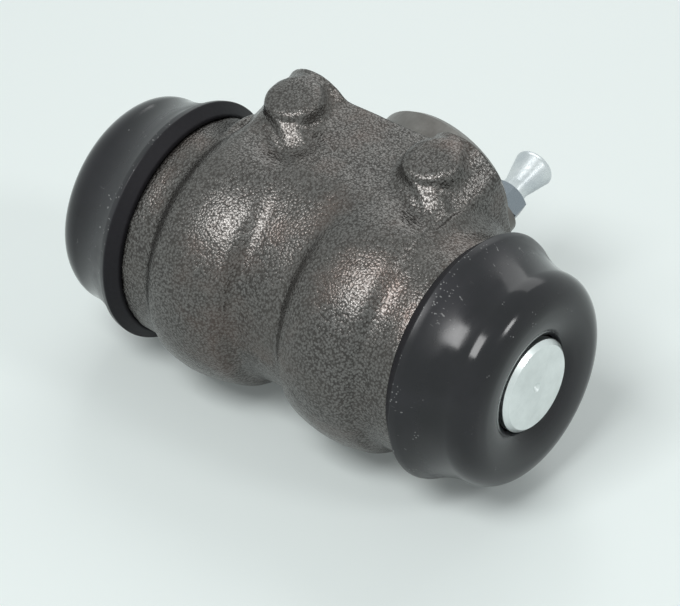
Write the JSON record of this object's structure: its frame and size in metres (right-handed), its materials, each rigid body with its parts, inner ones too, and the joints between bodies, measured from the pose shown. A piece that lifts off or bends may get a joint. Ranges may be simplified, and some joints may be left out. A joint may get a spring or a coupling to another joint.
{
  "type": "wheel cylinder",
  "caption": "Hydraulic wheel cylinder of a drum brake: a cast iron body with opposed pistons under rubber dust boots, a flanged mounting face with a pilot, an inlet port and a bleeder screw.",
  "frame": {"origin": "centre of the bolt rectangle and of the pilot spigot, in the plane of the mounting face", "axes": "+X along the bore, +Y out of the mounting face towards the backing plate, +Z towards the pads"},
  "size_m": [0.0972, 0.0747, 0.0576],
  "materials": {
    "cast_body": "rough cast, dark warm grey",
    "piston_metal": "turned",
    "cup_rubber": "matt",
    "pressed_steel": "pressed sheet",
    "spring_steel": "drawn wire",
    "boot_rubber": "satin, moulded",
    "plated_steel": "zinc plated"
  },
  "bodies": {
    "housing": {"cylinder_body": "cast_body", "dust_boot_left": "boot_rubber", "dust_boot_right": "boot_rubber", "return_spring": "spring_steel"},
    "left_piston_group": {"piston_left": "piston_metal", "cup_seal_left": "cup_rubber", "cup_expander_left": "pressed_steel"},
    "right_piston_group": {"piston_right": "piston_metal", "cup_seal_right": "cup_rubber", "cup_expander_right": "pressed_steel"},
    "bleeder": {"bleeder_screw": "plated_steel"}
  },
  "joints": [
    {"name": "piston_left_slide", "type": "slide", "parent": "housing", "child": "left_piston_group", "axis": [-1, 0, 0], "range_m": [-0.002, 0.006], "stiffness_N_per_m": 400, "deforming": ["dust_boot_left", "return_spring"]},
    {"name": "piston_right_slide", "type": "slide", "parent": "housing", "child": "right_piston_group", "axis": [1, 0, 0], "range_m": [-0.002, 0.006], "stiffness_N_per_m": 400, "deforming": ["dust_boot_right", "return_spring"]},
    {"name": "bleeder_turn", "type": "hinge", "parent": "housing", "child": "bleeder", "pos_m": [0.0097, 0, -0.0067], "axis": [0, 1, 0], "range_deg": [0, 360]}
  ]
}
